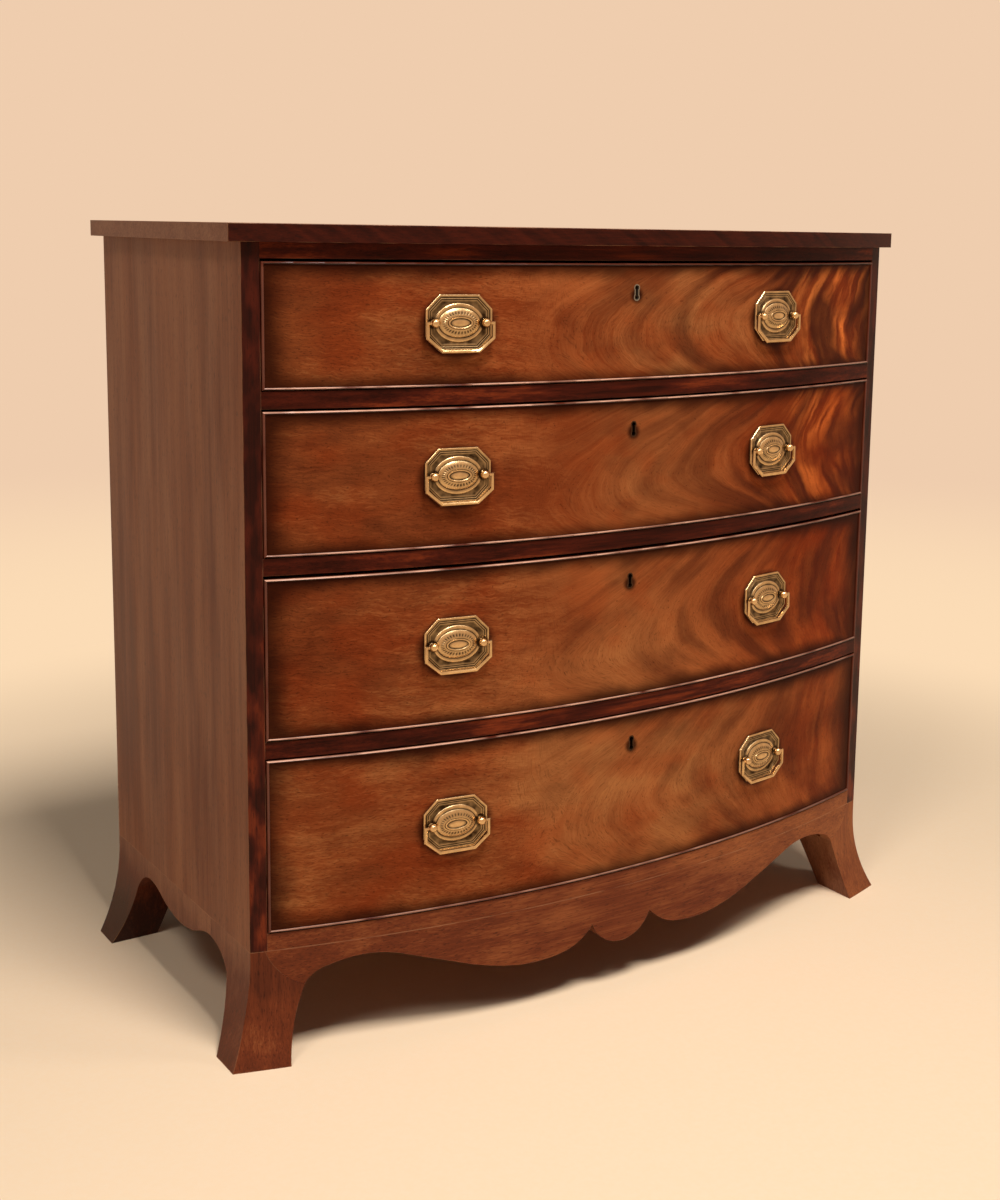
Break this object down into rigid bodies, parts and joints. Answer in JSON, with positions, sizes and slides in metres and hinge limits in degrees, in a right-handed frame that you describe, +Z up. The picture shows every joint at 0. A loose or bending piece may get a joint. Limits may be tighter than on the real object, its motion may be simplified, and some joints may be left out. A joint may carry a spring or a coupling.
{
  "type": "bow front chest of drawers",
  "caption": "Mahogany bow front chest of long drawers, graduated and cockbeaded, with brass bail handles, shaped apron and splayed bracket feet.",
  "frame": {"origin": "on the floor, in the middle of the overall width and depth", "axes": "+Z up, the drawers face -Y, +X to the right of someone facing the drawers"},
  "size_m": [0.984, 0.5019, 0.93],
  "materials": {
    "mahogany": "French polished solid and straight grained mahogany, satin",
    "flame_veneer": "French polished flame figured mahogany veneer, gloss",
    "pine": "bare scrubbed pine",
    "oak": "bare quarter sawn oak",
    "brass": "old lacquered brass, worn bright on the high parts",
    "iron": "filed iron"
  },
  "bodies": {
    "carcass": {"top": "mahogany", "side_left": "mahogany", "side_right": "mahogany", "top_rail": "mahogany", "divider_1": "mahogany", "divider_2": "mahogany", "divider_3": "mahogany", "bottom_rail": "mahogany", "foot_front_left": "mahogany", "foot_front_right": "mahogany", "foot_rear_left": "mahogany", "foot_rear_right": "mahogany", "apron_front": "mahogany", "apron_left": "mahogany", "apron_right": "mahogany", "carcass_bottom": "pine", "back_boards": "pine", "runners": "pine", "dust_boards": "pine", "blocks_and_stops": "pine"},
    "drawer_1": {"drawer_1_front": "flame_veneer", "drawer_1_cockbead": "mahogany", "drawer_1_sides": "oak", "drawer_1_back": "oak", "drawer_1_bottom": "oak", "drawer_1_lock": "brass", "drawer_1_handle_mounts": "brass"},
    "bolt_1": {"drawer_1_bolt": "iron"},
    "bail_left_1": {"drawer_1_bail_left": "brass"},
    "bail_right_1": {"drawer_1_bail_right": "brass"},
    "drawer_2": {"drawer_2_front": "flame_veneer", "drawer_2_cockbead": "mahogany", "drawer_2_sides": "oak", "drawer_2_back": "oak", "drawer_2_bottom": "oak", "drawer_2_lock": "brass", "drawer_2_handle_mounts": "brass"},
    "bolt_2": {"drawer_2_bolt": "iron"},
    "bail_left_2": {"drawer_2_bail_left": "brass"},
    "bail_right_2": {"drawer_2_bail_right": "brass"},
    "drawer_3": {"drawer_3_front": "flame_veneer", "drawer_3_cockbead": "mahogany", "drawer_3_sides": "oak", "drawer_3_back": "oak", "drawer_3_bottom": "oak", "drawer_3_lock": "brass", "drawer_3_handle_mounts": "brass"},
    "bolt_3": {"drawer_3_bolt": "iron"},
    "bail_left_3": {"drawer_3_bail_left": "brass"},
    "bail_right_3": {"drawer_3_bail_right": "brass"},
    "drawer_4": {"drawer_4_front": "flame_veneer", "drawer_4_cockbead": "mahogany", "drawer_4_sides": "oak", "drawer_4_back": "oak", "drawer_4_bottom": "oak", "drawer_4_lock": "brass", "drawer_4_handle_mounts": "brass"},
    "bolt_4": {"drawer_4_bolt": "iron"},
    "bail_left_4": {"drawer_4_bail_left": "brass"},
    "bail_right_4": {"drawer_4_bail_right": "brass"}
  },
  "joints": [
    {"name": "drawer_1_slide", "type": "slide", "parent": "carcass", "child": "drawer_1", "axis": [0, -1, 0], "range_m": [0, 0.3]},
    {"name": "bolt_1_slide", "type": "slide", "parent": "drawer_1", "child": "bolt_1", "axis": [0, 0, 1], "range_m": [0, 0.008]},
    {"name": "bail_left_1_swing", "type": "hinge", "parent": "drawer_1", "child": "bail_left_1", "pos_m": [-0.23211, -0.23129, 0.82575], "axis": [-0.9891, 0.1475, 0], "range_deg": [0, 170]},
    {"name": "bail_right_1_swing", "type": "hinge", "parent": "drawer_1", "child": "bail_right_1", "pos_m": [0.23211, -0.23129, 0.82575], "axis": [-0.9891, -0.1475, 0], "range_deg": [0, 170]},
    {"name": "drawer_2_slide", "type": "slide", "parent": "carcass", "child": "drawer_2", "axis": [0, -1, 0], "range_m": [0, 0.3]},
    {"name": "bolt_2_slide", "type": "slide", "parent": "drawer_2", "child": "bolt_2", "axis": [0, 0, 1], "range_m": [0, 0.008]},
    {"name": "bail_left_2_swing", "type": "hinge", "parent": "drawer_2", "child": "bail_left_2", "pos_m": [-0.23211, -0.23129, 0.65675], "axis": [-0.9891, 0.1475, 0], "range_deg": [0, 170]},
    {"name": "bail_right_2_swing", "type": "hinge", "parent": "drawer_2", "child": "bail_right_2", "pos_m": [0.23211, -0.23129, 0.65675], "axis": [-0.9891, -0.1475, 0], "range_deg": [0, 170]},
    {"name": "drawer_3_slide", "type": "slide", "parent": "carcass", "child": "drawer_3", "axis": [0, -1, 0], "range_m": [0, 0.3]},
    {"name": "bolt_3_slide", "type": "slide", "parent": "drawer_3", "child": "bolt_3", "axis": [0, 0, 1], "range_m": [0, 0.008]},
    {"name": "bail_left_3_swing", "type": "hinge", "parent": "drawer_3", "child": "bail_left_3", "pos_m": [-0.23211, -0.23129, 0.4639], "axis": [-0.9891, 0.1475, 0], "range_deg": [0, 170]},
    {"name": "bail_right_3_swing", "type": "hinge", "parent": "drawer_3", "child": "bail_right_3", "pos_m": [0.23211, -0.23129, 0.4639], "axis": [-0.9891, -0.1475, 0], "range_deg": [0, 170]},
    {"name": "drawer_4_slide", "type": "slide", "parent": "carcass", "child": "drawer_4", "axis": [0, -1, 0], "range_m": [0, 0.3]},
    {"name": "bolt_4_slide", "type": "slide", "parent": "drawer_4", "child": "bolt_4", "axis": [0, 0, 1], "range_m": [0, 0.008]},
    {"name": "bail_left_4_swing", "type": "hinge", "parent": "drawer_4", "child": "bail_left_4", "pos_m": [-0.23211, -0.23129, 0.252], "axis": [-0.9891, 0.1475, 0], "range_deg": [0, 170]},
    {"name": "bail_right_4_swing", "type": "hinge", "parent": "drawer_4", "child": "bail_right_4", "pos_m": [0.23211, -0.23129, 0.252], "axis": [-0.9891, -0.1475, 0], "range_deg": [0, 170]}
  ]
}
